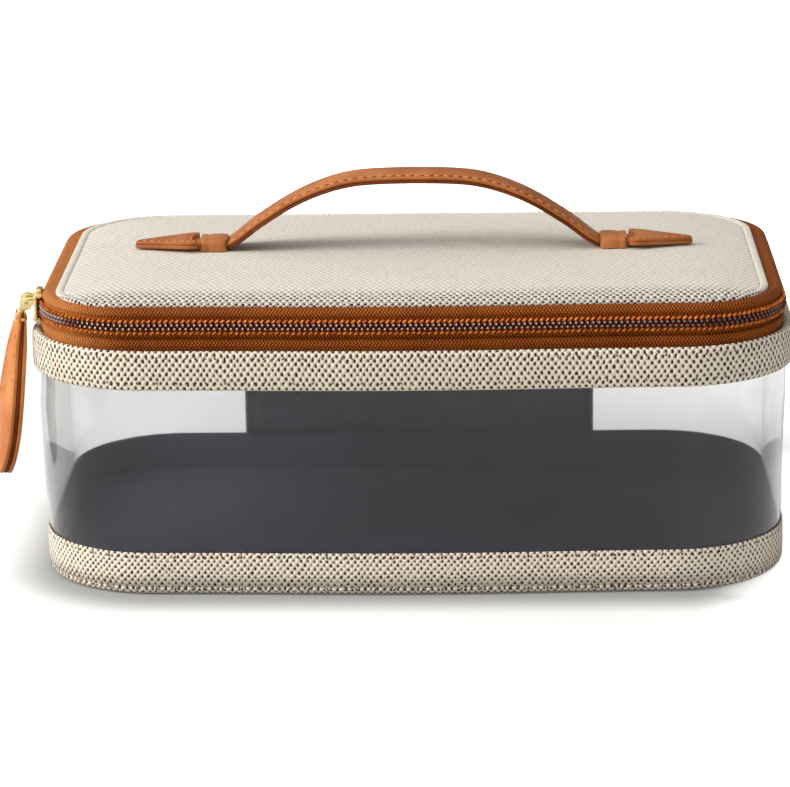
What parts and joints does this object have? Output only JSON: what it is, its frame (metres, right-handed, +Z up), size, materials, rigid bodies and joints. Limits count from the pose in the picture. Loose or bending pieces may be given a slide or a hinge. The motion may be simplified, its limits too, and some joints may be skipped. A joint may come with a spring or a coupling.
{
  "type": "soft clear-sided vanity case",
  "caption": "Soft vanity case with a clear wrap-round wall, canvas bands, a zipped hinged lid, a sliding leather carry handle and a leather zip pull.",
  "frame": {"origin": "middle of the underside, on the plane the case rests on", "axes": "+X right along the long side, +Y to the hinged rear, +Z up; the zip runs across the front at -Y"},
  "size_m": [0.2785, 0.158, 0.1323],
  "materials": {
    "printed_canvas": "woven canvas with a small dotted print",
    "stiff_board": "plain card, hidden",
    "padding": "soft foam, hidden",
    "charcoal_lining": "smooth matt cloth",
    "clear_vinyl": "clear flexible sheet, glossy",
    "tan_leather": "smooth tan leather with orange stitching",
    "zip_tape": "herringbone tape",
    "zip_teeth": "coiled nylon, satin",
    "gold_metal": "polished pale gold"
  },
  "bodies": {
    "case": {"base_bottom_canvas": "printed_canvas", "base_board": "stiff_board", "base_band": "printed_canvas", "floor_lining": "charcoal_lining", "base_wall_lining": "charcoal_lining", "window_wrap": "clear_vinyl", "back_panel_canvas": "printed_canvas", "back_panel_board": "stiff_board", "back_panel_lining": "charcoal_lining", "back_panel_binding": "tan_leather", "top_band": "printed_canvas", "top_band_core": "padding", "top_band_lining": "charcoal_lining", "zip_tape_lower": "zip_tape", "zip_teeth_lower": "zip_teeth", "zip_stops_lower": "gold_metal", "hinge_strip_lower": "zip_tape"},
    "lid": {"zip_tape_upper": "zip_tape", "zip_teeth_upper": "zip_teeth", "zip_stops_upper": "gold_metal", "hinge_strip_upper": "zip_tape", "lid_lining": "charcoal_lining", "lid_board": "stiff_board", "lid_foam": "padding", "lid_canvas": "printed_canvas", "handle_backing": "stiff_board", "keeper_left": "tan_leather", "keeper_right": "tan_leather", "handle_strap_lower": "tan_leather", "handle_padding": "padding", "handle_strap_upper": "tan_leather"},
    "handle_end_left": {"handle_end_left": "tan_leather"},
    "handle_end_right": {"handle_end_right": "tan_leather"},
    "slider": {"slider_body": "gold_metal", "slider_bridge": "gold_metal"},
    "pull_link": {"pull_link": "gold_metal"},
    "pull_tab": {"pull_pin": "gold_metal", "pull_front": "tan_leather", "pull_core": "tan_leather", "pull_back": "tan_leather"}
  },
  "joints": [
    {"name": "lid_hinge", "type": "hinge", "parent": "case", "child": "lid", "pos_m": [0, 0.0752, 0.0942], "axis": [-1, 0, 0], "range_deg": [0, 120]},
    {"name": "slider_travel", "type": "slide", "parent": "case", "child": "slider", "axis": [0, 1, 0], "range_m": [0, 0.07]},
    {"name": "pull_link_swing", "type": "hinge", "parent": "slider", "child": "pull_link", "pos_m": [-0.13305, -0.04, 0.0964], "axis": [0, 1, 0], "range_deg": [0, 120]},
    {"name": "pull_tab_swing", "type": "hinge", "parent": "pull_link", "child": "pull_tab", "pos_m": [-0.13565, -0.04, 0.0896], "axis": [-0.4226, 0.9063, 0], "range_deg": [0, 90]},
    {"name": "handle_left_slide", "type": "slide", "parent": "lid", "child": "handle_end_left", "axis": [-1, 0, 0], "range_m": [0, 0.0055], "deforming": ["handle_strap_lower", "handle_padding", "handle_strap_upper"]},
    {"name": "handle_right_slide", "type": "slide", "parent": "lid", "child": "handle_end_right", "axis": [1, 0, 0], "range_m": [0, 0.0055]}
  ],
  "couplings": [
    {"joint": "handle_right_slide", "follows": "handle_left_slide", "ratio": 1}
  ]
}
